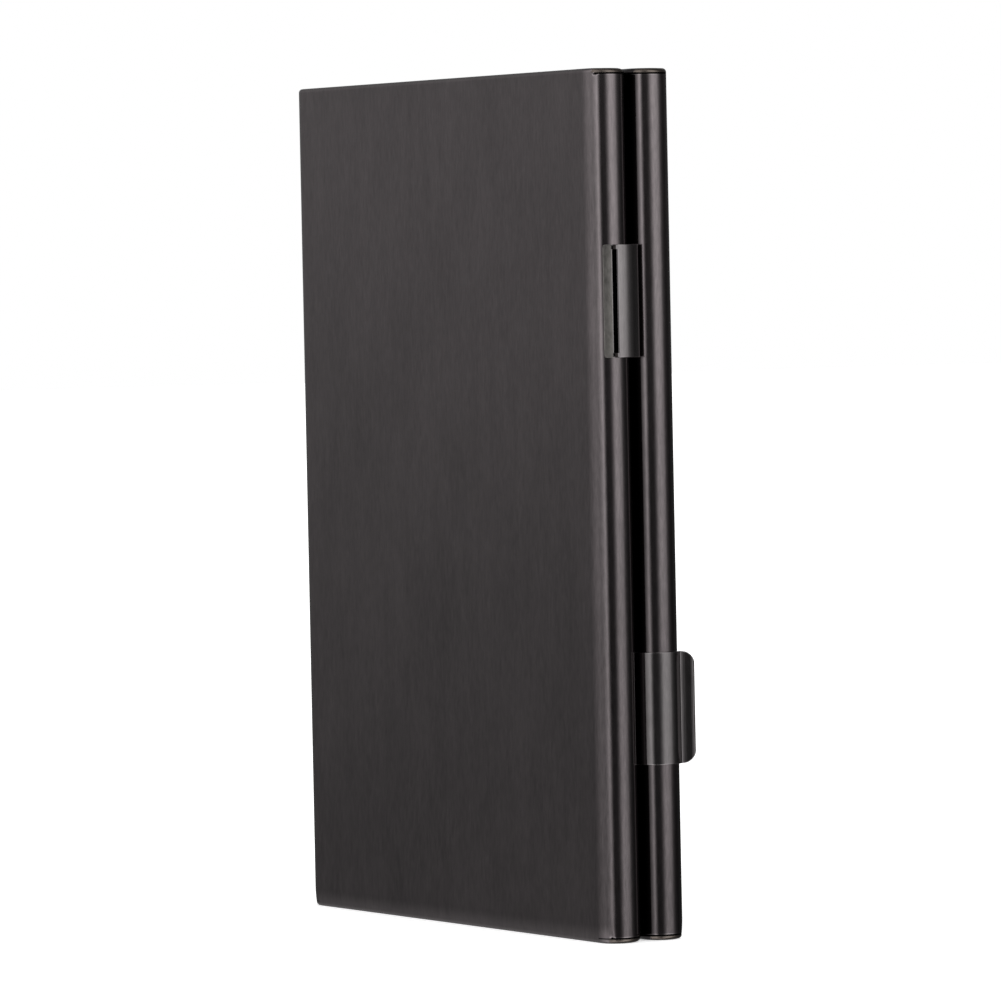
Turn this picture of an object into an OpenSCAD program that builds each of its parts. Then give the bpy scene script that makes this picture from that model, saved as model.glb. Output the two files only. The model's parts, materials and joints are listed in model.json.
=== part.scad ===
// Two-sided metal card case. Two pressed sheet shells share one hinge pin with the plate
// between them, and each shell is held shut by its own sprung strip on the far long edge.
//
// Millimetres, +Z up. The case stands on one short end at Z = 0 with its front shell
// towards -Y, its hinge towards -X and its latches towards +X. X = 0 and Y = 0 are the
// middle planes of the closed case.

/* [Case] */
// Width over both edge rounds
case_w = 64; // [63:1:80]
// Height, end wall to end wall
case_h = 93; // [92:1:120]
// Depth of each shell, which is also the diameter of its edge rounds
shell_d = 4.9; // [4.6:0.1:5.6]
// Gap between the rims of the two closed shells
leaf_gap = 0.5; // [0.5:0.05:1]
// Thickness of the shells' sheet
wall = 0.4; // [0.3:0.05:0.45]
// Radius where a shell's face turns into its end wall
end_r = 0.45; // [0.3:0.05:0.6]

/* [Cards] */
// Width of the cards that the pockets take
card_w = 53.98; // [50:0.01:54]
// Length of the cards that the pockets take
card_h = 85.6; // [80:0.1:86]
// Corner radius of the cards
card_r = 3.18; // [2:0.01:4]
// Play round the cards in a pocket
card_play = 0.7; // [0.3:0.1:0.9]
// Width of the thumb scoop in each end of a tray
scoop_w = 18; // [12:1:24]

/* [Middle plate] */
// Thickness of the plate between the shells
plate_t = 0.4; // [0.3:0.05:0.4]
// How far the plate stops short of the shells' end walls
plate_inset = 0.6; // [0.3:0.1:1.5]
// Thickness of the flocked film in the pockets
film_t = 0.15; // [0.1:0.05:0.2]

/* [Hinge] */
// Distance of the pin's axis outside the case's edge
hinge_out = 0.6; // [0.5:0.1:1]
// Outer radius of the knuckles
knuckle_r = 1.05; // [0.9:0.05:1.1]
// Radius of the pin
pin_r = 0.5; // [0.4:0.05:0.6]
// Radial clearance between the pin and the knuckles
pin_fit = 0.05; // [0.03:0.01:0.08]
// Length of the row of knuckles
hinge_len = 78; // [60:1:84]
// Number of knuckles, shared in turn by the front shell, the plate and the rear shell
knuckle_count = 12; // [6:3:18]
// Thickness of the strip that carries a shell's knuckles
leaf_t = 0.35; // [0.25:0.05:0.4]

/* [Latches] */
// Width of a latch strip
latch_w = 12; // [8:1:16]
// Thickness of a latch strip
latch_t = 0.3; // [0.2:0.05:0.3]
// Gap between a latch strip and the edge round it follows
latch_gap = 0.1; // [0.05:0.01:0.1]
// Height of the rear latch's middle above the base
rear_latch_z = 24.8; // [14:0.2:36]
// Height of the front latch's middle above the base
front_latch_z = 68.3; // [56:0.1:78]
// Length of the rear latch's thumb lip
lip_len = 1.5; // [1.5:0.05:2.2]
// Free corner radius of the thumb lip
lip_r = 1.4; // [0.5:0.1:1.4]
// Height of the front latch's crest above the edge round
crest = 0.95; // [0.9:0.05:1.2]
// Outer radius of the bend at the front latch's tip
tip_bend_r = 1.2; // [1:0.05:1.2]

/* [Hidden] */
$fn = 96;
tiny = 0.01;
edge_r = shell_d / 2;
round_x = case_w / 2 - edge_r;
round_y = leaf_gap / 2 + edge_r;
face_y = leaf_gap / 2 + shell_d;
floor_y = face_y - wall;

pocket_w = card_w + card_play;
pocket_h = card_h + card_play;
pocket_r = card_r + card_play / 2;
tray_play = 0.15;
tray_w = 2 * (round_x - tray_play);
tray_h = case_h - 2 * (wall + tray_play);
tray_rim_y = plate_t / 2 + film_t + 0.1;
scoop_keep = 0.7;

plate_x = round_x - 0.35;
plate_r = 1;
film_play = 0.15;

hinge_x = -(case_w / 2 + hinge_out);
hinge_s = edge_r + hinge_out;
hinge_dist = norm([hinge_s, round_y]);
hinge_angle = atan2(-round_y, hinge_s);
knuckle_pitch = hinge_len / knuckle_count;
knuckle_gap = 0.15;
hinge_z0 = (case_h - hinge_len) / 2;
saddle_gap = 0.05;
saddle_r0 = edge_r + saddle_gap;
saddle_from = -55;
saddle_to = -22;
web_w = 0.9;
web_bite = 0.25;
pin_head_r = 0.95;
pin_head_t = 0.5;
pin_head_gap = 0.1;

latch_r = edge_r + latch_gap + latch_t / 2;
latch_y = round_y - latch_r;
foot_neck_x = round_x - 2.2;
foot_head = 1.8;
foot_shoulder = 1.5;
foot_play = 0.05;
flex_gap = 0.05;
rear_flex_a = -57;
rear_arc_end = 46;
lip_angle = 62;
lip_bite = 0.15;
crest_s = edge_r + crest - latch_t / 2;
bridge_drop = 0.3;
bridge_r = latch_r - bridge_drop;
bridge_s = crest_s - bridge_r;
front_flex_a = -60;
tip_r = tip_bend_r - latch_t / 2;
tip_s = crest_s - tip_r;
tip_y = 0.236;
tip_end_a = 85;
crest_bite = 0.05;

metal = [0.10, 0.10, 0.11];
steel = [0.42, 0.42, 0.44];
plastic = [0.07, 0.07, 0.07];
flock = [0.16, 0.15, 0.15];

// ---- shared shapes ----

// Rectangle from the origin with round corners.
module rounded_rect(w, h, r) {
    translate([r, 0])
        square([w - 2 * r, h]);
    translate([0, r])
        square([w, h - 2 * r]);
    for (x = [r, w - r])
        for (y = [r, h - r])
            translate([x, y])
                circle(r);
}

// Plate of outline children(), drawn in X and Z, between the planes Y = y0 and Y = y0 + t.
module upright(y0, t) {
    translate([0, y0 + t, 0])
        rotate([90, 0, 0])
            linear_extrude(t)
                children();
}

// Rounded rectangle of an upright plate, centred on X = 0 and on the case's mid height.
module centred_rect(w, h, r) {
    translate([-w / 2, (case_h - h) / 2])
        rounded_rect(w, h, r);
}

// Part of a vertical ring from angle a0 to a1.
module ring_part(r0, t, a0, a1, h) {
    rotate([0, 0, a0])
        rotate_extrude(angle = a1 - a0)
            translate([r0, 0])
                square([t, h]);
}

// Part of a bent strip: the same, given by the bend's middle radius and the latch sheet.
module bend(r, a0, a1) {
    ring_part(r - latch_t / 2, latch_t, a0, a1, latch_w);
}

// Puts what is drawn for the front half on the front (-1) or the rear (1).
module half(side) {
    if (side > 0)
        mirror([0, 1, 0])
            children();
    else
        children();
}

// Frame on the centre line of a latch-side edge round: X outwards, Y towards the shell's face.
module at_latch_round(side) {
    half(side)
        translate([round_x, -round_y, 0])
            mirror([0, 1, 0])
                children();
}

// The same frame on a hinge-side edge round.
module at_hinge_round(side) {
    mirror([1, 0, 0])
        at_latch_round(side)
            children();
}

// ---- shells ----

// Closed outer form of the front shell: flat faces, full-round long edges, small end radii.
module shell_form() {
    for (x = [-round_x, round_x])
        translate([x, -round_y, 0])
            rotate_extrude()
                intersection() {
                    translate([-edge_r, 0])
                        rounded_rect(shell_d, case_h, end_r);
                    square([edge_r, case_h]);
                }
    translate([-round_x, -face_y, 0])
        rotate([90, 0, 90])
            linear_extrude(2 * round_x)
                rounded_rect(shell_d, case_h, end_r);
}

// What is hollow in the front shell: the same form less the sheet, open between the rims.
module shell_hollow() {
    inner_h = case_h - 2 * wall;
    for (x = [-round_x, round_x])
        translate([x, -round_y, wall])
            cylinder(h = inner_h, r = edge_r - wall);
    translate([-round_x, -floor_y, wall])
        cube([2 * round_x, floor_y, inner_h]);
}

module shell(side) {
    color(metal)
        half(side)
            difference() {
                shell_form();
                shell_hollow();
            }
}

module front_shell() shell(-1);
module rear_shell() shell(1);

// ---- card trays and films ----

// Frame that fills the shell round the card pocket, with a thumb scoop at each end.
module card_tray(side) {
    scoop_d = (tray_h - pocket_h) / 2 - scoop_keep;
    color(plastic)
        half(side)
            upright(-floor_y, floor_y - tray_rim_y)
                difference() {
                    centred_rect(tray_w, tray_h, plate_r);
                    centred_rect(pocket_w, pocket_h, pocket_r);
                    centred_rect(scoop_w, pocket_h + 2 * scoop_d, scoop_d);
                }
}

module front_card_tray() card_tray(-1);
module rear_card_tray() card_tray(1);

// Flocked film on the floor of a shell's pocket.
module shell_film(side) {
    color(flock)
        half(side)
            upright(-floor_y, film_t)
                centred_rect(pocket_w - 2 * film_play, pocket_h - 2 * film_play, pocket_r);
}

module front_shell_film() shell_film(-1);
module rear_shell_film() shell_film(1);

// Flocked film on the middle plate, facing a pocket.
module plate_film(side) {
    color(flock)
        half(side)
            upright(-plate_t / 2 - film_t, film_t)
                centred_rect(pocket_w - 2 * film_play, pocket_h - 2 * film_play, pocket_r);
}

module front_plate_film() plate_film(-1);
module rear_plate_film() plate_film(1);

// ---- hinge ----

// The knuckles of one leaf, numbered 0 front, 1 plate, 2 rear, as plain cylinders.
module knuckles(leaf) {
    for (i = [leaf : 3 : knuckle_count - 1])
        translate([hinge_x, 0, hinge_z0 + i * knuckle_pitch + knuckle_gap / 2])
            cylinder(h = knuckle_pitch - knuckle_gap, r = knuckle_r);
}

// The bore for the pin, through every knuckle.
module pin_bore() {
    translate([hinge_x, 0, -tiny])
        cylinder(h = case_h + 2 * tiny, r = pin_r + pin_fit);
}

// Strip brazed to a shell's hinge-side round, with its knuckles.
module hinge_leaf(side) {
    leaf = side < 0 ? 0 : 2;
    color(metal)
        difference() {
            union() {
                knuckles(leaf);
                at_hinge_round(side) {
                    translate([0, 0, hinge_z0 + knuckle_gap / 2])
                        ring_part(saddle_r0, leaf_t, saddle_from, saddle_to, hinge_len - knuckle_gap);
                    for (i = [leaf : 3 : knuckle_count - 1])
                        translate([0, 0, hinge_z0 + i * knuckle_pitch + knuckle_gap / 2])
                            rotate([0, 0, hinge_angle])
                                translate([saddle_r0 + leaf_t / 2, -web_w / 2, 0])
                                    cube([
                                        hinge_dist - knuckle_r + web_bite - saddle_r0 - leaf_t / 2,
                                        web_w,
                                        knuckle_pitch - knuckle_gap
                                    ]);
                }
            }
            pin_bore();
        }
}

module front_hinge_leaf() hinge_leaf(-1);
module rear_hinge_leaf() hinge_leaf(1);

module hinge_pin() {
    color(steel) {
        translate([hinge_x, 0, hinge_z0 - pin_head_gap - pin_head_t])
            cylinder(h = hinge_len + 2 * (pin_head_gap + pin_head_t), r = pin_r);
        for (z = [hinge_z0 - pin_head_gap - pin_head_t, hinge_z0 + hinge_len + pin_head_gap])
            translate([hinge_x, 0, z])
                cylinder(h = pin_head_t, r = pin_head_r);
    }
}

// ---- middle plate and latches ----

// T-shaped outline of a latch's foot, drawn in X and Z about the latch's mid height.
module foot_outline(play) {
    translate([foot_neck_x - foot_head - play, -latch_w / 2 - foot_shoulder - play])
        square([foot_head + 2 * play, latch_w + 2 * foot_shoulder + 2 * play]);
    translate([foot_neck_x - tiny, -latch_w / 2 - play])
        square([round_x - foot_neck_x + tiny, latch_w + 2 * play]);
}

module divider_plate() {
    plate_h = case_h - 2 * plate_inset;
    color(metal)
        difference() {
            union() {
                upright(-plate_t / 2, plate_t)
                    difference() {
                        centred_rect(2 * plate_x, plate_h, plate_r);
                        for (z = [front_latch_z, rear_latch_z])
                            translate([0, z])
                                foot_outline(foot_play);
                    }
                knuckles(1);
                for (i = [1 : 3 : knuckle_count - 1])
                    translate([
                        hinge_x + knuckle_r - web_bite,
                        -plate_t / 2,
                        hinge_z0 + i * knuckle_pitch + knuckle_gap / 2
                    ])
                        cube([-plate_x - hinge_x, plate_t, knuckle_pitch - knuckle_gap]);
            }
            pin_bore();
        }
}

// Flat root of a latch strip, let into the plate's edge, with the neck in the groove.
module latch_root(side, z) {
    half(side)
        upright(-latch_y - latch_t / 2, latch_t)
            translate([0, z])
                foot_outline(0);
}

module rear_latch_foot() {
    color(metal) {
        latch_root(1, rear_latch_z);
        at_latch_round(1)
            translate([0, 0, rear_latch_z - latch_w / 2])
                bend(latch_r, -90 - tiny, rear_flex_a);
    }
}

module front_latch_foot() {
    color(metal) {
        latch_root(-1, front_latch_z);
        at_latch_round(-1)
            translate([0, 0, front_latch_z - latch_w / 2]) {
                translate([-tiny, -latch_r - latch_t / 2, 0])
                    cube([bridge_s + tiny, latch_t, latch_w]);
                translate([bridge_s, -bridge_drop, 0])
                    bend(bridge_r, -90 - tiny, front_flex_a);
            }
    }
}

// Lip plate along +X from the bend, its free corners round.
module thumb_lip() {
    upright(-latch_t / 2, latch_t)
        intersection() {
            translate([-lip_r, 0])
                rounded_rect(lip_len + lip_r, latch_w, lip_r);
            translate([-lip_bite, 0])
                square([lip_len + lip_bite, latch_w]);
        }
}

// Spring strip that follows the rear round, then turns out into the thumb lip.
module rear_latch_hook() {
    start = rear_flex_a + flex_gap / latch_r * 180 / PI;
    color(metal)
        at_latch_round(1)
            translate([0, 0, rear_latch_z - latch_w / 2]) {
                bend(latch_r, start, rear_arc_end);
                translate([latch_r * cos(rear_arc_end), latch_r * sin(rear_arc_end), 0])
                    rotate([0, 0, lip_angle])
                        thumb_lip();
            }
}

// Spring strip that bridges the front round and turns down to end just above it. The flat
// between its two bends is a hair thinner than they are, so that no faces meet in a tangent.
module front_latch_hook() {
    start = front_flex_a + flex_gap / bridge_r * 180 / PI;
    color(metal)
        at_latch_round(-1)
            translate([0, 0, front_latch_z - latch_w / 2]) {
                translate([bridge_s, -bridge_drop, 0])
                    bend(bridge_r, start, 0);
                translate([crest_s - latch_t / 2 + tiny, -bridge_drop - crest_bite, 0])
                    cube([latch_t - 2 * tiny, tip_y + bridge_drop + 2 * crest_bite, latch_w]);
                translate([tip_s, tip_y, 0])
                    bend(tip_r, 0, tip_end_a);
            }
}

// ---- nodes ----

divider_plate();
hinge_pin();
front_plate_film();
rear_plate_film();
front_latch_foot();
rear_latch_foot();
front_latch_hook();
rear_latch_hook();
front_shell();
front_hinge_leaf();
front_card_tray();
front_shell_film();
rear_shell();
rear_hinge_leaf();
rear_card_tray();
rear_shell_film();
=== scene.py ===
"""Looks for the two-sided metal card case: shells, latch strips, hinge, trays, studio and camera."""

import json
import math

import bmesh
import bpy
import numpy as np
from mathutils import Matrix, Vector
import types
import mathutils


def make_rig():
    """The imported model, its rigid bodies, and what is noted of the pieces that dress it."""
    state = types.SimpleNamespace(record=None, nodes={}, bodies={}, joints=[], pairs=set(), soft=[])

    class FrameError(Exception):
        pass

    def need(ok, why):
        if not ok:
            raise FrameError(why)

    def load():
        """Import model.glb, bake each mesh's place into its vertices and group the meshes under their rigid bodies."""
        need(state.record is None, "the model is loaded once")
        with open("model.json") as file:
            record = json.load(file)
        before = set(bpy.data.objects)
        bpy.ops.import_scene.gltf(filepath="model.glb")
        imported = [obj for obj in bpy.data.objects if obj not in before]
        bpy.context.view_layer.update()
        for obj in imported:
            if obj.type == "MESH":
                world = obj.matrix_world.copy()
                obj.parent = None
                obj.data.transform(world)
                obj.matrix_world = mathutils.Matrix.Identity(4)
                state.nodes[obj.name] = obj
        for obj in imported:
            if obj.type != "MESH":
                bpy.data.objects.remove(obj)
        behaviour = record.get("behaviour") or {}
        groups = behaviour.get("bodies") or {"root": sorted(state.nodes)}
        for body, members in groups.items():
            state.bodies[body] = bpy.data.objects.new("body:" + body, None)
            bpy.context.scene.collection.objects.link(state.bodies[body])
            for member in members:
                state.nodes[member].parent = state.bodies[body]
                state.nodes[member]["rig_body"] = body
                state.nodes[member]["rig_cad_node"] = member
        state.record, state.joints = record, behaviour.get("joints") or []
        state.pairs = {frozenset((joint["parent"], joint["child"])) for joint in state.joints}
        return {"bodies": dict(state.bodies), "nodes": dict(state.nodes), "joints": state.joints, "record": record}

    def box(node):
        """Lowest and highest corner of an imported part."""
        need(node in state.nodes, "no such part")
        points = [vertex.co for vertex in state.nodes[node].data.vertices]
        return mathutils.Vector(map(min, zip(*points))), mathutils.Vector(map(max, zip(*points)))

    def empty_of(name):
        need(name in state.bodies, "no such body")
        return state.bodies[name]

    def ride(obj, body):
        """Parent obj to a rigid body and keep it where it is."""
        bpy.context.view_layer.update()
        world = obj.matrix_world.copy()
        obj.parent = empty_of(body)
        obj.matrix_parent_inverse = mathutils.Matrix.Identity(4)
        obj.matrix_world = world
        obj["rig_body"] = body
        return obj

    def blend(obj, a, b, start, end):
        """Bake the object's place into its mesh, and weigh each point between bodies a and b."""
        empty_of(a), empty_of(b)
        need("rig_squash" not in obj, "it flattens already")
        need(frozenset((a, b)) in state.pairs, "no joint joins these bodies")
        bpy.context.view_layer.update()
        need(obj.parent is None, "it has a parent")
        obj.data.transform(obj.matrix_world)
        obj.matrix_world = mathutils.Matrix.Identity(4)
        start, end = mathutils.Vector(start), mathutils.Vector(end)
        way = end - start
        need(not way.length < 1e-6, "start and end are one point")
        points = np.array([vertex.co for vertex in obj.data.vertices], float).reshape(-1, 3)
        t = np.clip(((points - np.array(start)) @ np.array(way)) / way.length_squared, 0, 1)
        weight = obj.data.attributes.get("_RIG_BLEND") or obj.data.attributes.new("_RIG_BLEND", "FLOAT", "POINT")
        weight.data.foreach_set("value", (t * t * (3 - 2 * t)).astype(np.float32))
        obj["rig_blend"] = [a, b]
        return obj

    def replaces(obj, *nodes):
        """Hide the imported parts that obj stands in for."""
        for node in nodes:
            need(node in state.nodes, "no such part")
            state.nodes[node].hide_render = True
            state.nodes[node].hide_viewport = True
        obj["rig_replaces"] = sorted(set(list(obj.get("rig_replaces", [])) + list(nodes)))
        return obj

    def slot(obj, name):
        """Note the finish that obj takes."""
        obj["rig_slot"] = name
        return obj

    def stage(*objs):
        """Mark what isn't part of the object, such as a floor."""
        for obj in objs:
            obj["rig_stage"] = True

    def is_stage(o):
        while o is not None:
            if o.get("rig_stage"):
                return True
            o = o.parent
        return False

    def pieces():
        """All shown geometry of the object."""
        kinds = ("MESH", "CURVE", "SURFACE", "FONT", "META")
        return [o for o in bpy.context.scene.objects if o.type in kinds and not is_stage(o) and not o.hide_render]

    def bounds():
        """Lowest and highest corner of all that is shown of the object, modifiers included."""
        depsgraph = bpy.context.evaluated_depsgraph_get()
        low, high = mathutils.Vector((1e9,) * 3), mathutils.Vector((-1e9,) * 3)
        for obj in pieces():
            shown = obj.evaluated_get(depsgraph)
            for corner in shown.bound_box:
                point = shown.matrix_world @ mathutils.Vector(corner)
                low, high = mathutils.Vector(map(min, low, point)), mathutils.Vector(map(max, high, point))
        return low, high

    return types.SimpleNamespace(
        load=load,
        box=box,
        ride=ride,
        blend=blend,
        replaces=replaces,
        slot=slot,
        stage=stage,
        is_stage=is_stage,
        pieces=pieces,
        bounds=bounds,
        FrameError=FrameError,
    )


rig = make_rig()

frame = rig.load()
rest_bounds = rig.bounds()

MM = 0.001

# ---- sizes worked out from the frame ----

shell_lo, shell_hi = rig.box("front_shell")
film_lo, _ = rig.box("front_shell_film")
CASE_H = shell_hi.z - shell_lo.z
EDGE_R = (shell_hi.y - shell_lo.y) / 2
ROUND_X = shell_hi.x - EDGE_R
ROUND_Y = -(shell_hi.y + shell_lo.y) / 2
WALL = film_lo.y - shell_lo.y

pin_lo, pin_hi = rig.box("hinge_pin")
leaf_lo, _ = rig.box("front_hinge_leaf")
HINGE_X = (pin_lo.x + pin_hi.x) / 2
KNUCKLE_R = HINGE_X - leaf_lo.x
KNUCKLE_BORE = 0.55 * MM
KNUCKLES_PER_LEAF = 4
KNUCKLE_GAP = 0.15 * MM
PIN_HEAD = 0.6 * MM
HINGE_Z0 = pin_lo.z + PIN_HEAD
HINGE_LEN = pin_hi.z - pin_lo.z - 2 * PIN_HEAD
KNUCKLE_PITCH = HINGE_LEN / (3 * KNUCKLES_PER_LEAF)

rear_hook_lo, rear_hook_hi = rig.box("rear_latch_hook")
front_hook_lo, front_hook_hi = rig.box("front_latch_hook")
LATCH_W = rear_hook_hi.z - rear_hook_lo.z
LATCH_T = 0.3 * MM
LATCH_R = ROUND_Y
REAR_LATCH_Z = (rear_hook_lo.z + rear_hook_hi.z) / 2
FRONT_LATCH_Z = (front_hook_lo.z + front_hook_hi.z) / 2
CREST_S = front_hook_hi.x - ROUND_X - LATCH_T / 2
FOOT_BACK = 4.0 * MM
FOOT_HEAD = 1.8 * MM
FOOT_SHOULDER = 1.5 * MM


# ---- materials ----


def new_material(name):
    """An empty node material and its Principled shader."""
    mat = bpy.data.materials.new(name)
    mat.use_nodes = True
    nodes = mat.node_tree.nodes
    nodes.clear()
    out = nodes.new("ShaderNodeOutputMaterial")
    shader = nodes.new("ShaderNodeBsdfPrincipled")
    mat.node_tree.links.new(shader.outputs["BSDF"], out.inputs["Surface"])
    return mat, shader


def noise(mat, scale, detail=3.0, roughness=0.55):
    """Noise in the piece's own coordinates, with a scale per axis in cells per metre."""
    nodes = mat.node_tree.nodes
    links = mat.node_tree.links
    coords = nodes.new("ShaderNodeTexCoord")
    mapping = nodes.new("ShaderNodeMapping")
    mapping.inputs["Scale"].default_value = scale
    texture = nodes.new("ShaderNodeTexNoise")
    texture.inputs["Scale"].default_value = 1.0
    texture.inputs["Detail"].default_value = detail
    texture.inputs["Roughness"].default_value = roughness
    links.new(coords.outputs["Object"], mapping.inputs["Vector"])
    links.new(mapping.outputs["Vector"], texture.inputs["Vector"])
    return texture.outputs["Fac"]


def spread(mat, value, low, high, from_low=0.3, from_high=0.7):
    """value rescaled so that its usual range runs from low to high."""
    node = mat.node_tree.nodes.new("ShaderNodeMapRange")
    node.inputs["From Min"].default_value = from_low
    node.inputs["From Max"].default_value = from_high
    node.inputs["To Min"].default_value = low
    node.inputs["To Max"].default_value = high
    mat.node_tree.links.new(value, node.inputs["Value"])
    return node.outputs["Result"]


def combine(mat, operation, a, b):
    """One maths node on two values; b may be a number."""
    node = mat.node_tree.nodes.new("ShaderNodeMath")
    node.operation = operation
    mat.node_tree.links.new(a, node.inputs[0])
    if isinstance(b, (int, float)):
        node.inputs[1].default_value = b
    else:
        mat.node_tree.links.new(b, node.inputs[1])
    return node.outputs[0]


def mix_colour(mat, factor, a, b):
    """Colour between a and b; b may be another node's output."""
    mix = mat.node_tree.nodes.new("ShaderNodeMix")
    mix.data_type = "RGBA"
    mix.inputs[6].default_value = (*a, 1)
    if isinstance(b, tuple):
        mix.inputs[7].default_value = (*b, 1)
    else:
        mat.node_tree.links.new(b, mix.inputs[7])
    mat.node_tree.links.new(factor, mix.inputs[0])
    return mix.outputs[2]


def tint(mat, shader, factor, dark, light):
    """Base colour that runs from dark to light with factor."""
    mat.node_tree.links.new(mix_colour(mat, factor, dark, light), shader.inputs["Base Color"])


def out_of_groove(mat, deep, clear):
    """0 near the case's middle plane, in the groove between the shells, and 1 outside it: the mask of a painted shade.
    """
    coords = mat.node_tree.nodes.new("ShaderNodeTexCoord")
    split = mat.node_tree.nodes.new("ShaderNodeSeparateXYZ")
    mat.node_tree.links.new(coords.outputs["Object"], split.inputs["Vector"])
    depth = combine(mat, "ABSOLUTE", split.outputs["Y"], 0.0)
    return spread(mat, depth, 0.0, 1.0, deep, clear)


def bump(mat, shader, height, depth, strength=1.0):
    """Fine relief, depth metres high, on the shader's normal."""
    node = mat.node_tree.nodes.new("ShaderNodeBump")
    node.inputs["Strength"].default_value = strength
    node.inputs["Distance"].default_value = depth
    mat.node_tree.links.new(height, node.inputs["Height"])
    mat.node_tree.links.new(node.outputs["Normal"], shader.inputs["Normal"])


FINE_SHARE = 0.75
BROAD_GRAIN = (420, 420, 70)
CLOUD_GRAIN = (60, 60, 40)
MARK_GRAIN = (260, 260, 180)
# Share of the dark colour kept deep in the groove: painted shade between the shells.
GROOVE_SHADE_SHARE = 0.25


def brushed_metal(name, dark, light, rough, grain=(4200, 4200, 700), relief=0.25e-6, groove=None):
    """Metal with fine brush lines along Z, cloudy gloss and small handling marks.

    groove, a pair of distances from the middle plane, gives where a painted shade darkens it between the shells.
    """
    mat, shader = new_material(name)
    shader.inputs["Metallic"].default_value = 1.0
    fine = noise(mat, grain, 4.0, 0.65)
    broad = noise(mat, BROAD_GRAIN, 2.0)
    clouds = noise(mat, CLOUD_GRAIN, 4.0, 0.6)
    marks = noise(mat, MARK_GRAIN, 5.0, 0.7)
    fine_part = combine(mat, "MULTIPLY", fine, FINE_SHARE)
    broad_part = combine(mat, "MULTIPLY", broad, 1 - FINE_SHARE)
    streaks = combine(mat, "ADD", fine_part, broad_part)
    tone = combine(mat, "ADD", spread(mat, streaks, 0.1, 0.75), spread(mat, clouds, 0.0, 0.25))
    colour = mix_colour(mat, tone, dark, light)
    # Painted shade: darker towards the middle plane, in the groove between the shells.
    if groove:
        groove_shade_colour = tuple(GROOVE_SHADE_SHARE * c for c in dark)
        colour = mix_colour(mat, out_of_groove(mat, *groove), groove_shade_colour, colour)
    mat.node_tree.links.new(colour, shader.inputs["Base Color"])
    gloss = combine(
        mat, "ADD", spread(mat, streaks, rough * 0.8, rough * 1.15), spread(mat, marks, -0.015, 0.03)
    )
    mat.node_tree.links.new(gloss, shader.inputs["Roughness"])
    bump(mat, shader, fine, relief)
    return mat


def moulded_plastic(name, dark, light):
    """Matte black plastic with a spark-eroded texture."""
    mat, shader = new_material(name)
    texture = noise(mat, (9000, 9000, 9000), 2.0)
    clouds = noise(mat, (120, 120, 120), 4.0)
    tint(mat, shader, clouds, dark, light)
    mat.node_tree.links.new(spread(mat, texture, 0.5, 0.72), shader.inputs["Roughness"])
    bump(mat, shader, texture, 6e-6)
    return mat


def flock(name, dark, light):
    """Short dense fibres on a film."""
    mat, shader = new_material(name)
    fibres = noise(mat, (16000, 16000, 16000), 3.0, 0.8)
    nap = noise(mat, (140, 140, 90), 4.0)
    tint(mat, shader, combine(mat, "MULTIPLY", fibres, spread(mat, nap, 0.7, 1.3)), dark, light)
    shader.inputs["Roughness"].default_value = 0.95
    shader.inputs["Sheen Weight"].default_value = 0.6
    shader.inputs["Sheen Roughness"].default_value = 0.4
    bump(mat, shader, fibres, 25e-6)
    return mat


# Distances from the middle plane over which the painted groove shade fades out.
GROOVE = (0.62 * MM, 1.05 * MM)
ANODISED = brushed_metal(
    "black_anodised_sheet", (0.079, 0.071, 0.073), (0.162, 0.143, 0.147), 0.13, groove=GROOVE
)
STRIP = brushed_metal("black_spring_strip", (0.116, 0.108, 0.109), (0.184, 0.172, 0.174), 0.12)
WORN_STRIP = brushed_metal(
    "rubbed_spring_strip", (0.060, 0.057, 0.054), (0.200, 0.190, 0.180), 0.50, (2600, 2600, 1500), 2e-6
)
# Rougher metal for the end plates' edges; its warm brown tint is a painted reflection of warm surroundings.
CUT_EDGE_WARM_REFLECTION = brushed_metal(
    "sheet_edge_warm_reflection", (0.062, 0.053, 0.046), (0.130, 0.110, 0.098), 0.34, (5200, 5200, 5200), 1e-6
)
# Near-black metal on the seam floors: painted shade in the gap between end plate and edge round.
SEAM_SHADE = brushed_metal("seam_gap_shade", (0.004, 0.004, 0.004), (0.009, 0.009, 0.009), 0.60)
HINGE_METAL = brushed_metal(
    "hinge_strip", (0.085, 0.080, 0.082), (0.125, 0.118, 0.120), 0.24, (3000, 3000, 300)
)
PIN_STEEL = brushed_metal("drawn_wire", (0.38, 0.37, 0.36), (0.50, 0.49, 0.48), 0.22, (2500, 2500, 800))
PLASTIC = moulded_plastic("tray_plastic", (0.012, 0.012, 0.013), (0.028, 0.027, 0.027))
FLOCK = flock("flocked_film", (0.010, 0.010, 0.011), (0.065, 0.060, 0.060))


# ---- mesh helpers ----

WELD = 1e-7
CREASE = 35.0


def make_piece(name, verts, faces, material, sharp_deg=CREASE):
    """A smooth-shaded object from plain lists, at the origin, with its normals recalculated."""
    mesh = bpy.data.meshes.new(name)
    mesh.from_pydata([tuple(v) for v in verts], [], faces)
    bm = bmesh.new()
    bm.from_mesh(mesh)
    bmesh.ops.remove_doubles(bm, verts=bm.verts, dist=WELD)
    bmesh.ops.recalc_face_normals(bm, faces=bm.faces)
    bm.to_mesh(mesh)
    bm.free()
    finish_mesh(mesh, material, sharp_deg)
    obj = bpy.data.objects.new(name, mesh)
    bpy.context.collection.objects.link(obj)
    return obj


def finish_mesh(mesh, material, sharp_deg):
    """Smooth shading with creases past sharp_deg, and one material."""
    mesh.polygons.foreach_set("use_smooth", [True] * len(mesh.polygons))
    mesh.set_sharp_from_angle(angle=math.radians(sharp_deg))
    mesh.materials.clear()
    mesh.materials.append(material)


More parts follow.
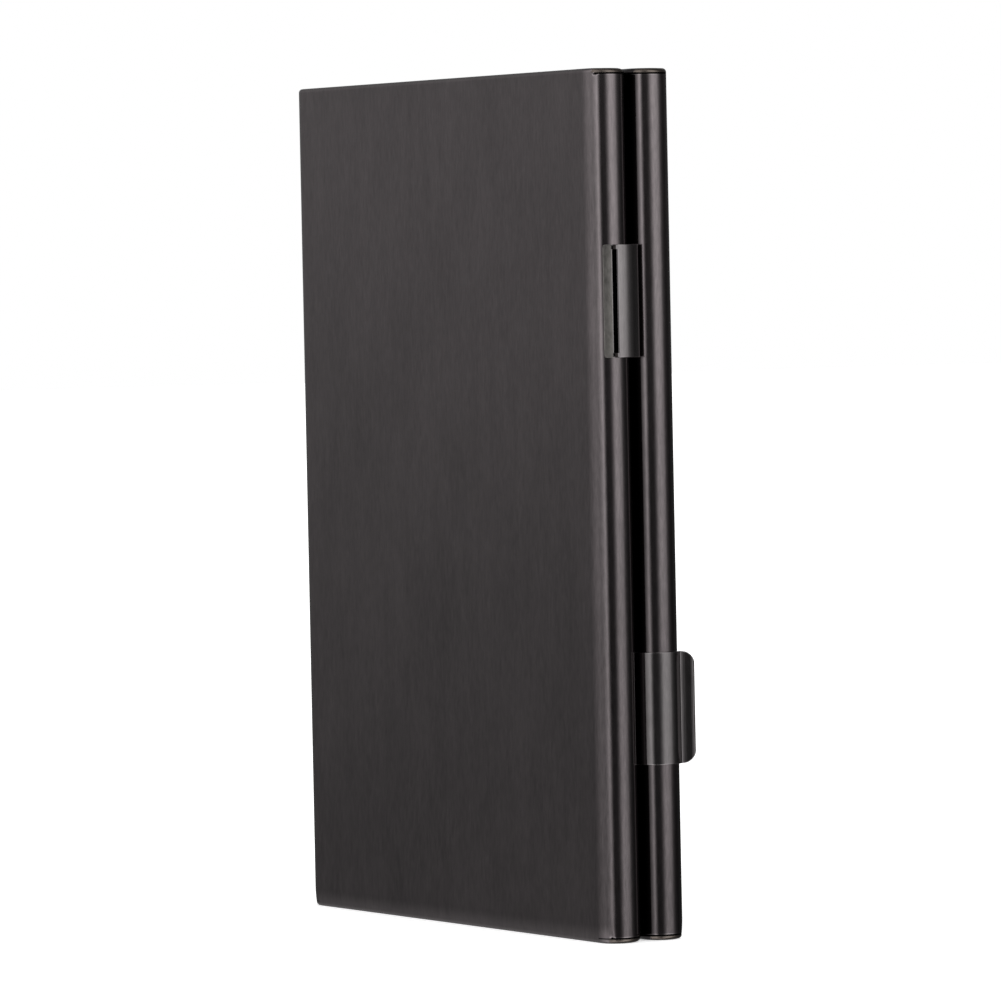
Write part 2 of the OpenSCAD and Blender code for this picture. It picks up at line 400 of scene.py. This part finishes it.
def add_box(verts, faces, low, high):
    """Adds a closed six-sided body between two rings of four corners."""
    first = len(verts)
    verts += low + high
    for quad in ((0, 1, 2, 3), (4, 5, 6, 7), (0, 1, 5, 4), (1, 2, 6, 5), (2, 3, 7, 6), (3, 0, 4, 7)):
        faces.append(tuple(first + k for k in quad))


# ---- shells ----

ROUND_STEPS = 56
FLAT_STEPS = 24
WALL_LEVELS = 12
WALL_FROM = 1.0 * MM
BEND_LEVELS = 16
SEAM_LEVELS = 10
SUPPORT = 0.05 * MM
EASE_H = 2.2 * MM
EASE_IN = 0.11 * MM
BEND_R = 0.42 * MM
SEAM_FULL = 37.0
SEAM_NONE = 54.0
SEAM_Z = 0.54 * MM
SEAM_W = 0.17 * MM
SEAM_DEEP = 0.30 * MM
SEAM_LIP = 0.02 * MM
SEAM_STEP = 0.01 * MM
PLATE_DOME = 0.70 * MM
DOME_STEPS = 8
PLATE_EDGE_X = 0.55 * EDGE_R


def seam_share(angle):
    """How far a point of an edge round shows the end plate's seam: 1 at the edge, 0 near the face."""
    t = (angle - SEAM_FULL) / (SEAM_NONE - SEAM_FULL)
    t = min(max(t, 0.0), 1.0)
    return 1 - t * t * (3 - 2 * t)


def shell_outline():
    """Front shell's section curve from rim to rim round the face, as (point, normal, seam share)."""
    rows = []
    for a in np.linspace(90, 270, ROUND_STEPS + 1):
        rows.append((-ROUND_X, a, seam_share(a - 180)))
    left = len(rows)
    for a in np.linspace(-90, 90, ROUND_STEPS + 1):
        rows.append((ROUND_X, a, seam_share(-a)))
    outline = []
    for centre_x, angle, share in rows:
        n = (math.cos(math.radians(angle)), math.sin(math.radians(angle)))
        outline.append(((centre_x + EDGE_R * n[0], -ROUND_Y + EDGE_R * n[1]), n, share))
    flat = []
    for x in np.linspace(-ROUND_X + SUPPORT, ROUND_X - SUPPORT, FLAT_STEPS):
        flat.append(((x, -ROUND_Y - EDGE_R), (0.0, -1.0), 0.0))
    return outline[:left] + flat + outline[left:]


def eased(z, ease_in):
    """How far the face leans in at height z, below the height where it starts to."""
    return ease_in * ((EASE_H - z) / (EASE_H - BEND_R)) ** 2


def end_profiles(ease_in):
    """(height, inset) from the straight wall to the end, as pairs: the bent face, the seamed round."""
    low = SEAM_Z - SEAM_W / 2
    high = SEAM_Z + SEAM_W / 2
    bend = [(z, eased(z, ease_in)) for z in np.linspace(EASE_H, BEND_R + SUPPORT, BEND_LEVELS)]
    seam = [(z, 0.0) for z in np.linspace(EASE_H, high + 7.5 * SEAM_LIP, SEAM_LEVELS)]
    seam += [
        (high + 4 * SEAM_LIP, 0.0),
        (high + SEAM_LIP, 0.75 * SEAM_LIP),
        (high, 2.5 * SEAM_LIP),
        (high - SEAM_STEP, SEAM_DEEP),
        (low + SEAM_STEP, SEAM_DEEP),
        (low, SEAM_LIP),
    ]
    for t in np.linspace(0, math.pi / 2, DOME_STEPS):
        bend.append((BEND_R * (1 - math.sin(t)), ease_in + BEND_R * (1 - math.cos(t))))
        seam.append(((low - 1.5 * SEAM_LIP) * (1 - math.sin(t)), PLATE_DOME * (1 - math.cos(t))))
    return list(zip(bend, seam))


def shell_mesh():
    """Vertices and faces of the front shell: curled sheet, end walls and how they meet."""
    verts = []
    faces = []
    outline = shell_outline()
    count = len(outline)

    def ring(inset_and_height):
        """A ring of the outline's points, set in and at a height that go by the seam share."""
        first = len(verts)
        for (x, y), (nx, ny), share in outline:
            inset, z = inset_and_height(share)
            verts.append((x - nx * inset, y - ny * inset, z))
        return list(range(first, first + count))

    def join(a, b, closed):
        """Faces between two rings, with or without the open side between the rims."""
        for i in range(count if closed else count - 1):
            j = (i + 1) % count
            faces.append((a[i], a[j], b[j], b[i]))

    low = EASE_H + WALL_FROM
    levels = [EASE_H, EASE_H + SUPPORT]
    levels += list(np.linspace(low, CASE_H - low, WALL_LEVELS))
    levels += [CASE_H - EASE_H - SUPPORT, CASE_H - EASE_H]
    outer = [ring(lambda _, z=z: (0.0, z)) for z in levels]
    inner_levels = [WALL] + levels[1:-1] + [CASE_H - WALL]
    inner = [ring(lambda _, z=z: (WALL, z)) for z in inner_levels]
    for k in range(len(levels) - 1):
        join(outer[k], outer[k + 1], False)
        join(inner[k], inner[k + 1], False)
        for end in (0, -1):
            faces.append((outer[k][end], outer[k + 1][end], inner[k + 1][end], inner[k][end]))
    for k, base, sign, ease_in in ((0, 0.0, 1, EASE_IN), (-1, CASE_H, -1, 0.0)):
        profiles = end_profiles(ease_in)
        stack = [outer[k]]
        for bend, seam in profiles[1:]:

            def at(share, bend=bend, seam=seam):
                """Inset and height between the bent face and the seamed round."""
                z = bend[0] * (1 - share) + seam[0] * share
                inset = bend[1] * (1 - share) + seam[1] * share
                return inset, base + sign * z

            stack.append(ring(at))
        wall_at = next(i for i, (bend, _) in enumerate(profiles) if bend[0] < WALL)
        for i in range(len(stack) - 1):
            join(stack[i], stack[i + 1], i >= wall_at)
        rim = [r[0] for r in stack[: wall_at + 1]]
        far = [r[-1] for r in stack[: wall_at + 1]]
        faces.append(tuple(rim) + (inner[k][0],))
        faces.append(tuple(far) + (inner[k][-1],))
        faces.append(tuple(inner[k]) + (far[-1], rim[-1]))
        faces.append(tuple(stack[-1]))
    return verts, faces


def paint_ends(mesh, side):
    """Own materials for the end plates' edges (painted warm reflection) and the seams (painted shade)."""
    mesh.materials.append(CUT_EDGE_WARM_REFLECTION)
    mesh.materials.append(SEAM_SHADE)
    for face in mesh.polygons:
        out = abs(face.center.x) - ROUND_X
        from_end = min(face.center.z, CASE_H - face.center.z)
        inset = EDGE_R - math.hypot(out, face.center.y - side * ROUND_Y)
        # End plate edge: rougher metal whose brown tint is a painted reflection.
        if from_end < SEAM_Z - SEAM_W / 2 and out > PLATE_EDGE_X and inset < EDGE_R / 2:
            face.material_index = 1
        # Seam floor: painted shade.
        elif abs(from_end - SEAM_Z) <= SEAM_W / 2 and SUPPORT < inset < WALL:
            face.material_index = 2


def make_shell(name, side, body):
    """A shell's skin on the front (-1) or the rear (1), in place of the CAD shell."""
    verts, faces = shell_mesh()
    if side > 0:
        verts = [(x, -y, z) for x, y, z in verts]
    shell = make_piece(name + "_skin", verts, faces, ANODISED)
    paint_ends(shell.data, side)
    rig.ride(shell, body)
    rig.replaces(shell, name)
    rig.slot(shell, "anodised_sheet")


make_shell("front_shell", -1, "front_cover")
make_shell("rear_shell", 1, "rear_cover")


# ---- latch strips ----

STRIP_EDGE = 0.08 * MM
END_EDGE = 0.13 * MM
LIP_BEND_R = 0.3 * MM
LIP_LEN = 1.47 * MM
LIP_R = 1.4 * MM
REAR_WRAP = 131.0
LIP_TURN = -57.0
LIP_CURL = 28.0
RISE_TURN = 55.0
CREST_R = 4.0 * MM
CREST_TURN = 45.0
CREST_Y = 0.46 * MM
TIP_GAP = 0.05 * MM
TIP_R = EDGE_R + TIP_GAP + LATCH_T / 2
TIP_FROM = 10.7
TIP_TO = 33.4
TIP_CORNER = 0.3 * MM
TIP_LEAN = 3.0
TIP_RIM = 0.22 * MM
TIP_BEND_R = 0.5 * MM
TIP_BEND = 11.0
BRIGHT_EDGE = 6.0
BRIDGE_W = 0.5 * MM
BRIDGE_T = BRIDGE_W * 2 / 3
FRONT_END_R = 0.05 * MM
REAR_FLEX_FROM = (0.6 * MM, -2.60 * MM)
REAR_FLEX_TO = (1.9 * MM, -1.75 * MM)
FRONT_FLEX_FROM = (1.2 * MM, -2.65 * MM)
FRONT_FLEX_TO = (2.4 * MM, -2.0 * MM)
TURN_STEP = 4.0
FOOT_STEPS = 8
END_STEPS = 14
CORNER_STEPS = 5
SHOULDER_STEP = 1e-7
STRIP_CREASE = 40.0


class Path:
    """A centre line drawn by going forward and turning, in the plane of the strip's section."""

    def __init__(self, x, y):
        """Starts at a point, heading along the first axis."""
        self.points = [(x, y)]
        self.heading = 0.0

    def forward(self, length, steps=1):
        """Adds a straight stretch."""
        for _ in range(steps):
            x, y = self.points[-1]
            a = math.radians(self.heading)
            step = length / steps
            self.points.append((x + step * math.cos(a), y + step * math.sin(a)))

    def turn(self, radius, degrees):
        """Adds a bend, to the left where degrees is above zero."""
        steps = max(2, round(abs(degrees) / TURN_STEP))
        half = degrees / steps / 2
        chord = 2 * radius * math.sin(math.radians(abs(half)))
        for _ in range(steps):
            self.heading += half
            self.forward(chord)
            self.heading += half


def rear_path():
    """Root in the middle plane, round the rear shell's edge, then out to the thumb lip."""
    path = Path(-FOOT_BACK, -LATCH_R)
    path.forward(FOOT_BACK, FOOT_STEPS)
    path.turn(LATCH_R, REAR_WRAP)
    path.turn(LIP_BEND_R, LIP_TURN)
    path.turn(LIP_LEN / math.radians(LIP_CURL), -LIP_CURL)
    return path.points


def front_path():
    """Root in the middle plane, then over the front shell's edge to the slit in its crest."""
    crest_angle = math.radians(RISE_TURN + CREST_TURN - 90)
    join_angle = math.radians(RISE_TURN - 90)
    centre_x = CREST_S - CREST_R
    centre_y = CREST_Y - CREST_R * math.sin(crest_angle)
    rise_r = (LATCH_R + centre_y + CREST_R * math.sin(join_angle)) / (1 + math.sin(join_angle))
    rise_x = centre_x + (CREST_R - rise_r) * math.cos(join_angle)
    path = Path(-FOOT_BACK, -LATCH_R)
    path.forward(FOOT_BACK + rise_x, FOOT_STEPS)
    path.turn(rise_r, RISE_TURN)
    path.turn(CREST_R, CREST_TURN)
    return path.points


def tip_path():
    """The front latch's tip past the slit, lying along the shell's edge round."""
    a = math.radians(TIP_FROM)
    path = Path(TIP_R * math.cos(a), TIP_R * math.sin(a))
    path.heading = 90 + TIP_LEAN
    path.forward(TIP_RIM, 2)
    path.turn(TIP_BEND_R, TIP_BEND)
    path.turn(TIP_R, TIP_TO - TIP_LEAN - TIP_BEND)
    return path.points


def half_width(s, total, end_r, rooted):
    """Half the strip's width at distance s from its root, with shoulders and round free corners."""
    if rooted and s < FOOT_HEAD:
        return LATCH_W / 2 + FOOT_SHOULDER
    into = s - (total - end_r)
    if into <= 0:
        return LATCH_W / 2
    return LATCH_W / 2 - end_r + math.sqrt(max(end_r**2 - into**2, 0.0))


def half_thickness(to_end):
    """Half the strip's thickness at a distance from a free end, which is rounded."""
    if to_end >= END_EDGE:
        return LATCH_T / 2
    short = min(END_EDGE - to_end, END_EDGE)
    return LATCH_T / 2 - END_EDGE + math.sqrt(END_EDGE**2 - short**2)


def resample(points, end_r):
    """The path with extra points close to its root shoulders and its free end."""
    points = np.array(points)
    lengths = np.concatenate([[0], np.cumsum(np.linalg.norm(np.diff(points, axis=0), axis=1))])
    total = lengths[-1]
    extra = []
    if total > 2 * FOOT_HEAD:
        extra = [FOOT_HEAD - SHOULDER_STEP, FOOT_HEAD + SHOULDER_STEP]
    for a in np.linspace(0, math.pi / 2, END_STEPS):
        extra += [total - end_r * (1 - math.sin(a)), total - END_EDGE * (1 - math.sin(a))]
        extra += [END_EDGE * (1 - math.sin(a))]
    at = np.unique(np.round(np.concatenate([lengths, extra]), 8))
    xs = np.interp(at, lengths, points[:, 0])
    ys = np.interp(at, lengths, points[:, 1])
    return at, np.column_stack([xs, ys]), total


def strip_mesh(points, end_r, mid_z, place, rooted=True):
    """A closed ribbon along points, put in the case by place(s, t, z).

    Known fault: the section's corners run the wrong way round. The ribbon crosses itself along
    both edges, and its broad faces lie STRIP_EDGE too deep on each side and point inwards.
    Testing for up * out < 0 in the loop below puts that right.
    """
    at, centre, total = resample(points, end_r)
    tangent = np.gradient(centre, at, axis=0)
    tangent /= np.linalg.norm(tangent, axis=1)[:, None]
    normal = np.column_stack([tangent[:, 1], -tangent[:, 0]])
    section = []
    corner = np.linspace(0, math.pi / 2, CORNER_STEPS)
    for up, out in ((1, 1), (1, -1), (-1, -1), (-1, 1)):
        angles = corner if up * out > 0 else corner[::-1]
        for a in angles:
            z_part = -STRIP_EDGE + STRIP_EDGE * math.cos(a)
            n_part = LATCH_T / 2 - STRIP_EDGE + STRIP_EDGE * math.sin(a)
            section.append((up, z_part, out * n_part))
    verts = []
    faces = []
    n = len(section)
    for i, s in enumerate(at):
        wide = half_width(s, total, end_r, rooted)
        to_end = total - s if rooted else min(s, total - s)
        thin = half_thickness(to_end) / (LATCH_T / 2)
        for up, z_part, n_part in section:
            p = centre[i] + normal[i] * n_part * thin
            verts.append(place(p[0], p[1], mid_z + up * (wide + z_part)))
    for i in range(len(at) - 1):
        for k in range(n):
            j = (k + 1) % n
            faces.append((i * n + k, i * n + j, (i + 1) * n + j, (i + 1) * n + k))
    faces.append(tuple(range(n)))
    faces.append(tuple(range((len(at) - 1) * n, len(at) * n)))
    return verts, faces


def at_round(side):
    """Where a point of the latch-side round's own frame is in the case, front (-1) or rear (1)."""

    def place(s, t, z):
        """s out from the round's centre line, t towards the shell's face."""
        return (ROUND_X + s, side * (ROUND_Y + t), z)

    return place


def make_latch(name, side, points, end_r, mid_z, flex_from, flex_to):
    """A latch strip, rooted in the middle and bending between flex_from and flex_to."""
    place = at_round(side)
    verts, faces = strip_mesh(points, end_r, mid_z, place)
    strip = make_piece(name + "_strip", verts, faces, STRIP, STRIP_CREASE)
    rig.blend(strip, "middle", name, start=place(*flex_from, mid_z), end=place(*flex_to, mid_z))
    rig.replaces(strip, name + "_foot", name + "_hook")
    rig.slot(strip, "spring_strip")


def make_latch_tip():
    """The rubbed tip of the front latch and the two bridges that join it to the crest."""
    place = at_round(-1)
    verts, faces = strip_mesh(tip_path(), TIP_CORNER, FRONT_LATCH_Z, place, rooted=False)
    inner_s = TIP_R * math.cos(math.radians(TIP_FROM)) - LATCH_T / 4
    outer_s = CREST_S + LATCH_T / 4
    low_t = CREST_Y - BRIDGE_T / 2
    high_t = CREST_Y + BRIDGE_T / 2
    corners = ((inner_s, low_t), (inner_s, high_t), (outer_s, high_t), (outer_s, low_t))
    for sign in (-1, 1):
        outer_z = FRONT_LATCH_Z + sign * (LATCH_W / 2 - STRIP_EDGE)
        inner_z = FRONT_LATCH_Z + sign * (LATCH_W / 2 - BRIDGE_W)
        low = [place(s, t, outer_z) for s, t in corners]
        high = [place(s, t, inner_z) for s, t in corners]
        add_box(verts, faces, low, high)
    tip = make_piece("front_latch_tip", verts, faces, WORN_STRIP, STRIP_CREASE)
    tip.data.materials.append(STRIP)
    for face in tip.data.polygons:
        s = face.center.x - ROUND_X
        t = -face.center.y - ROUND_Y
        if math.degrees(math.atan2(t, s)) < TIP_FROM + BRIGHT_EDGE:
            face.material_index = 1
    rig.ride(tip, "front_latch")
    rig.slot(tip, "spring_strip")


make_latch("rear_latch", 1, rear_path(), LIP_R, REAR_LATCH_Z, REAR_FLEX_FROM, REAR_FLEX_TO)
make_latch(
    "front_latch", -1, front_path(), FRONT_END_R, FRONT_LATCH_Z, FRONT_FLEX_FROM, FRONT_FLEX_TO
)
make_latch_tip()


# ---- hinge ----

KNUCKLE_STEPS = 48
KNUCKLE_EDGE = 0.08 * MM
WEB_W = 0.9 * MM
WEB_START = 0.2 * MM
WEB_BITE = 0.25 * MM
SADDLE_GAP = 0.05 * MM
SADDLE_T = 0.35 * MM
SADDLE_FROM = -55
SADDLE_TO = -22
SADDLE_STEPS = 13


def knuckle_mesh(name, side):
    """One curled knuckle about the pin with the web that carries it, at the row's first place."""
    verts = []
    faces = []
    length = KNUCKLE_PITCH - KNUCKLE_GAP
    soft = KNUCKLE_EDGE
    profile = [
        (KNUCKLE_BORE, soft),
        (KNUCKLE_BORE + soft, 0),
        (KNUCKLE_R - soft, 0),
        (KNUCKLE_R, soft),
        (KNUCKLE_R, length - soft),
        (KNUCKLE_R - soft, length),
        (KNUCKLE_BORE + soft, length),
        (KNUCKLE_BORE, length - soft),
    ]
    n = len(profile)
    for i in range(KNUCKLE_STEPS):
        a = 2 * math.pi * i / KNUCKLE_STEPS
        for r, z in profile:
            verts.append((HINGE_X + r * math.cos(a), r * math.sin(a), z))
    for i in range(KNUCKLE_STEPS):
        a = i * n
        b = (i + 1) % KNUCKLE_STEPS * n
        for k in range(n):
            faces.append((a + k, a + (k + 1) % n, b + (k + 1) % n, b + k))
    centre = Vector((-ROUND_X, side * ROUND_Y, 0))
    axis = Vector((HINGE_X, 0, 0))
    along = (axis - centre).normalized()
    across = Vector((-along.y, along.x, 0)) * WEB_W / 2
    near = centre + along * (EDGE_R + WEB_START)
    far = axis - along * (KNUCKLE_R - WEB_BITE)
    corners = (near - across, near + across, far + across, far - across)
    low = [(p.x, p.y, soft) for p in corners]
    high = [(p.x, p.y, length - soft) for p in corners]
    add_box(verts, faces, low, high)
    return make_piece(name, verts, faces, HINGE_METAL)


def row_group():
    """Geometry Nodes that repeat a mesh along Z: Count copies, Pitch apart, the first at First."""
    group = bpy.data.node_groups.new("knuckle_row", "GeometryNodeTree")
    face = group.interface
    face.new_socket("Geometry", in_out="INPUT", socket_type="NodeSocketGeometry")
    face.new_socket("Count", in_out="INPUT", socket_type="NodeSocketInt")
    face.new_socket("Pitch", in_out="INPUT", socket_type="NodeSocketFloat")
    face.new_socket("First", in_out="INPUT", socket_type="NodeSocketFloat")
    face.new_socket("Material", in_out="INPUT", socket_type="NodeSocketMaterial")
    face.new_socket("Geometry", in_out="OUTPUT", socket_type="NodeSocketGeometry")
    nodes = group.nodes
    links = group.links
    enter = nodes.new("NodeGroupInput")
    leave = nodes.new("NodeGroupOutput")
    line = nodes.new("GeometryNodeMeshLine")
    start = nodes.new("ShaderNodeCombineXYZ")
    step = nodes.new("ShaderNodeCombineXYZ")
    place = nodes.new("GeometryNodeInstanceOnPoints")
    real = nodes.new("GeometryNodeRealizeInstances")
    paint = nodes.new("GeometryNodeSetMaterial")
    links.new(enter.outputs["Count"], line.inputs["Count"])
    links.new(enter.outputs["First"], start.inputs["Z"])
    links.new(enter.outputs["Pitch"], step.inputs["Z"])
    links.new(start.outputs["Vector"], line.inputs["Start Location"])
    links.new(step.outputs["Vector"], line.inputs["Offset"])
    links.new(line.outputs["Mesh"], place.inputs["Points"])
    links.new(enter.outputs["Geometry"], place.inputs["Instance"])
    links.new(place.outputs["Instances"], real.inputs["Geometry"])
    links.new(real.outputs["Geometry"], paint.inputs["Geometry"])
    links.new(enter.outputs["Material"], paint.inputs["Material"])
    links.new(paint.outputs["Geometry"], leave.inputs["Geometry"])
    return group


def set_input(modifier, name, value):
    """Sets a Geometry Nodes input by the identifier of the socket with this name."""
    for item in modifier.node_group.interface.items_tree:
        if item.item_type == "SOCKET" and item.in_out == "INPUT" and item.name == name:
            modifier[item.identifier] = value


def bake(obj):
    """Puts the result of the object's modifiers in its mesh, and removes the modifiers."""
    graph = bpy.context.evaluated_depsgraph_get()
    graph.update()
    mesh = bpy.data.meshes.new_from_object(obj.evaluated_get(graph))
    obj.modifiers.clear()
    obj.data = mesh


def saddle(side):
    """Strip that hugs the hinge-side round and carries the knuckles."""
    verts = []
    faces = []
    r0 = EDGE_R + SADDLE_GAP
    r1 = r0 + SADDLE_T
    z0 = HINGE_Z0 + KNUCKLE_GAP / 2
    z1 = HINGE_Z0 + HINGE_LEN - KNUCKLE_GAP / 2
    angles = np.linspace(SADDLE_FROM, SADDLE_TO, SADDLE_STEPS)
    for z in (z0, z1):
        for r in (r0, r1):
            for a in np.radians(angles):
                s = r * math.cos(a)
                t = r * math.sin(a)
                verts.append((-ROUND_X - s, side * (ROUND_Y + t), z))
    n = len(angles)

    def at(level, skin, i):
        """Index of a point: bottom or top, inner or outer skin, and place along the arc."""
        return (level * 2 + skin) * n + i

    for i in range(n - 1):
        faces.append((at(0, 0, i), at(0, 0, i + 1), at(0, 1, i + 1), at(0, 1, i)))
        faces.append((at(1, 0, i), at(1, 0, i + 1), at(1, 1, i + 1), at(1, 1, i)))
        faces.append((at(0, 0, i), at(0, 0, i + 1), at(1, 0, i + 1), at(1, 0, i)))
        faces.append((at(0, 1, i), at(0, 1, i + 1), at(1, 1, i + 1), at(1, 1, i)))
    for i in (0, n - 1):
        faces.append((at(0, 0, i), at(0, 1, i), at(1, 1, i), at(1, 0, i)))
    return make_piece("saddle", verts, faces, HINGE_METAL)


def merge(target, other):
    """Adds the other object's mesh to target and removes the other object."""
    bm = bmesh.new()
    bm.from_mesh(target.data)
    bm.from_mesh(other.data)
    bm.to_mesh(target.data)
    bm.free()
    bpy.data.objects.remove(other)


def make_hinge_leaf(name, side, body, first, group):
    """A shell's knuckles and the strip that carries them, as one piece."""
    row = knuckle_mesh(name + "_row", side)
    modifier = row.modifiers.new("row", "NODES")
    modifier.node_group = group
    set_input(modifier, "Count", KNUCKLES_PER_LEAF)
    set_input(modifier, "Pitch", 3 * KNUCKLE_PITCH)
    set_input(modifier, "First", HINGE_Z0 + first * KNUCKLE_PITCH + KNUCKLE_GAP / 2)
    set_input(modifier, "Material", HINGE_METAL)
    bake(row)
    merge(row, saddle(side))
    finish_mesh(row.data, HINGE_METAL, CREASE)
    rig.ride(row, body)
    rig.replaces(row, name)
    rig.slot(row, "anodised_sheet")


ROW = row_group()
make_hinge_leaf("front_hinge_leaf", -1, "front_cover", 0, ROW)
make_hinge_leaf("rear_hinge_leaf", 1, "rear_cover", 2, ROW)


# ---- pieces shown as the frame holds them ----

TRAY_EDGE = 0.12 * MM
TRAY_CREASE = 50.0


def dress(node, material, soft=0.0):
    """Gives a CAD node its material and, if soft is set, a small rounded edge."""
    obj = frame["nodes"][node]
    obj.data.materials.clear()
    obj.data.materials.append(material)
    if soft:
        edge = obj.modifiers.new("edge", "BEVEL")
        edge.width = soft
        edge.segments = 2
        edge.limit_method = "ANGLE"
        edge.angle_limit = math.radians(TRAY_CREASE)


dress("divider_plate", HINGE_METAL)
dress("hinge_pin", PIN_STEEL)
for half in ("front", "rear"):
    dress(half + "_card_tray", PLASTIC, TRAY_EDGE)
    dress(half + "_shell_film", FLOCK)
    dress(half + "_plate_film", FLOCK)


# ---- studio ----

FLOOR_SIDE = 8.0
FLOOR_GLOW = 0.5


def make_floor():
    """A large pale plane at the case's base, which the metal doesn't mirror."""
    mesh = bpy.data.meshes.new("floor")
    h = FLOOR_SIDE / 2
    z = shell_lo.z
    mesh.from_pydata([(-h, -h, z), (h, -h, z), (h, h, z), (-h, h, z)], [], [(0, 1, 2, 3)])
    floor = bpy.data.objects.new("floor", mesh)
    bpy.context.collection.objects.link(floor)
    mat, shader = new_material("white_floor")
    shader.inputs["Base Color"].default_value = (0.9, 0.9, 0.9, 1)
    shader.inputs["Roughness"].default_value = 0.9
    shader.inputs["Specular IOR Level"].default_value = 0.1
    shader.inputs["Emission Color"].default_value = (1, 1, 1, 1)
    shader.inputs["Emission Strength"].default_value = FLOOR_GLOW
    mesh.materials.append(mat)
    floor.visible_glossy = False
    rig.stage(floor)


# Brightness of the studio round the horizon, as (angle, level). Angles run from +X towards -Y.
AROUND = [
    # Unlit half of the room behind the case
    (-180, 0.25),
    (-125, 0.10),
    (-74, 0.07),
    (-60, 0.17),
    # Broad key light past the latch side
    (-50, 0.45),
    (-40, 1.40),
    (-26, 2.00),
    (-11, 2.15),
    (-3, 1.60),
    (2, 1.00),
    (10, 0.35),
    # Dark gap where the camera stands
    (17, 0.14),
    (37, 0.11),
    (42, 0.35),
    # Narrow strip light, then the pale wall in front of the face
    (47, 1.20),
    (54, 2.45),
    (65, 1.50),
    (76, 1.05),
    (98, 1.14),
    (124, 0.78),
    (148, 0.45),
    (180, 0.25),
]

# Brightness factor from straight down to straight up, as (elevation, factor).
UPWARDS = [
    (-90, 1.60),
    (-45, 1.50),
    (-25, 1.30),
    (-12, 0.85),
    (-9, 0.60),
    (-6.5, 0.45),
    (-5, 0.47),
    (-3.3, 0.58),
    (-1.6, 0.73),
    (0.1, 0.89),
    (1.7, 1.00),
    (6, 1.10),
    (20, 1.25),
    (45, 1.25),
    (90, 0.90),
]


def ramp(nodes, stops, low, high):
    """A colour ramp through (position, grey) stops given between low and high."""
    node = nodes.new("ShaderNodeValToRGB")
    elements = node.color_ramp.elements
    top = max(grey for _, grey in stops)
    while len(elements) < len(stops):
        elements.new(0.5)
    for element, (position, grey) in zip(elements, stops):
        element.position = (position - low) / (high - low)
        element.color = (grey / top, grey / top, grey / top, 1)
    return node, top


def make_world():
    """The studio as glossy rays see it, and an even white for every other ray."""
    world = bpy.data.worlds.new("studio")
    bpy.context.scene.world = world
    world.use_nodes = True
    nodes = world.node_tree.nodes
    links = world.node_tree.links
    nodes.clear()

    def maths(operation, a, b=0.0):
        """One maths node on two values or sockets."""
        node = nodes.new("ShaderNodeMath")
        node.operation = operation
        for socket, value in zip(node.inputs, (a, b)):
            if isinstance(value, (int, float)):
                socket.default_value = value
            else:
                links.new(value, socket)
        return node.outputs[0]

    coords = nodes.new("ShaderNodeTexCoord")
    split = nodes.new("ShaderNodeSeparateXYZ")
    links.new(coords.outputs["Generated"], split.inputs["Vector"])
    turn = maths("ARCTAN2", maths("MULTIPLY", split.outputs["Y"], -1.0), split.outputs["X"])
    around, around_top = ramp(nodes, AROUND, -180, 180)
    links.new(maths("ADD", maths("DIVIDE", turn, 2 * math.pi), 0.5), around.inputs["Fac"])
    rise = maths("ARCSINE", split.outputs["Z"])
    upwards, up_top = ramp(nodes, UPWARDS, -90, 90)
    links.new(maths("ADD", maths("DIVIDE", rise, math.pi), 0.5), upwards.inputs["Fac"])
    studio = maths("MULTIPLY", around.outputs["Color"], upwards.outputs["Color"])
    studio = maths("MULTIPLY", studio, around_top * up_top)
    rays = nodes.new("ShaderNodeLightPath")
    mirror = rays.outputs["Is Glossy Ray"]
    level = maths("ADD", maths("MULTIPLY", studio, mirror), maths("SUBTRACT", 1.0, mirror))
    background = nodes.new("ShaderNodeBackground")
    background.inputs["Color"].default_value = (1, 1, 1, 1)
    out = nodes.new("ShaderNodeOutputWorld")
    links.new(level, background.inputs["Strength"])
    links.new(background.outputs["Background"], out.inputs["Surface"])


make_floor()
make_world()


# ---- camera ----

CAMERA_AZIMUTH = 58.4
CAMERA_ELEVATION = 1.79
CAMERA_DISTANCE = 0.7334
CAMERA_LENS = 238.9
CAMERA_ROLL = -1.148
CAMERA_ASIDE = 1.72 * MM


def make_camera():
    """A long lens, aimed just beside the case's middle and rolled slightly."""
    data = bpy.data.cameras.new("camera")
    data.lens = CAMERA_LENS
    data.sensor_width = 36
    data.clip_start = 0.01
    data.clip_end = 50
    camera = bpy.data.objects.new("camera", data)
    bpy.context.collection.objects.link(camera)
    a = math.radians(CAMERA_AZIMUTH)
    e = math.radians(CAMERA_ELEVATION)
    back = Vector((math.sin(a) * math.cos(e), -math.cos(a) * math.cos(e), math.sin(e)))
    right = Vector((math.cos(a), math.sin(a), 0))
    middle = Vector((0, 0, CASE_H / 2))
    camera.location = middle + back * CAMERA_DISTANCE
    aim = middle + right * CAMERA_ASIDE - camera.location
    camera.rotation_mode = "QUATERNION"
    roll = Matrix.Rotation(math.radians(CAMERA_ROLL), 3, "Z").to_quaternion()
    camera.rotation_quaternion = aim.to_track_quat("-Z", "Y") @ roll
    bpy.context.scene.camera = camera


make_camera()
bpy.context.scene.view_settings.view_transform = "Standard"

with open("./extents.json", "w") as out:
    json.dump([[list(v) for v in rest_bounds], [list(v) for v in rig.bounds()]], out)
